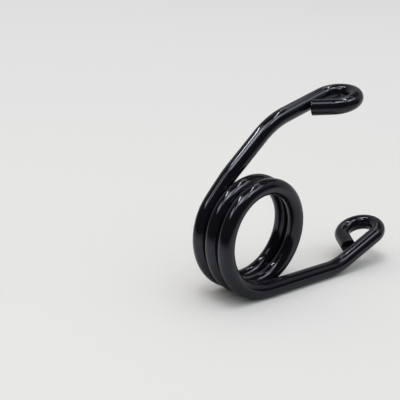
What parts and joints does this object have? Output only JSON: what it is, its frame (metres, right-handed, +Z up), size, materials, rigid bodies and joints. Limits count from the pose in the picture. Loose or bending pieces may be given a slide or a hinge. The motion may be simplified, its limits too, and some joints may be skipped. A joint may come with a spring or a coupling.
{
  "type": "torsion spring",
  "caption": "Hairpin torsion spring of round wire: a short closed coil with two arms that open into a mouth, each bent towards it and ending in a teardrop eye.",
  "frame": {"origin": "middle of the coil's bore, on the coil's axis", "axes": "+Y along the coil's axis from the lower arm's side to the upper arm's side, +Z up, +X along the lower arm towards the mouth between the arms. The spring lies with its lower arm and the bottoms of its turns on the plane Z = -34.75 mm."},
  "size_m": [0.1483, 0.0342, 0.1155],
  "materials": {
    "coating": "gloss"
  },
  "bodies": {
    "root": {"spring_wire": "coating"}
  },
  "joints": []
}
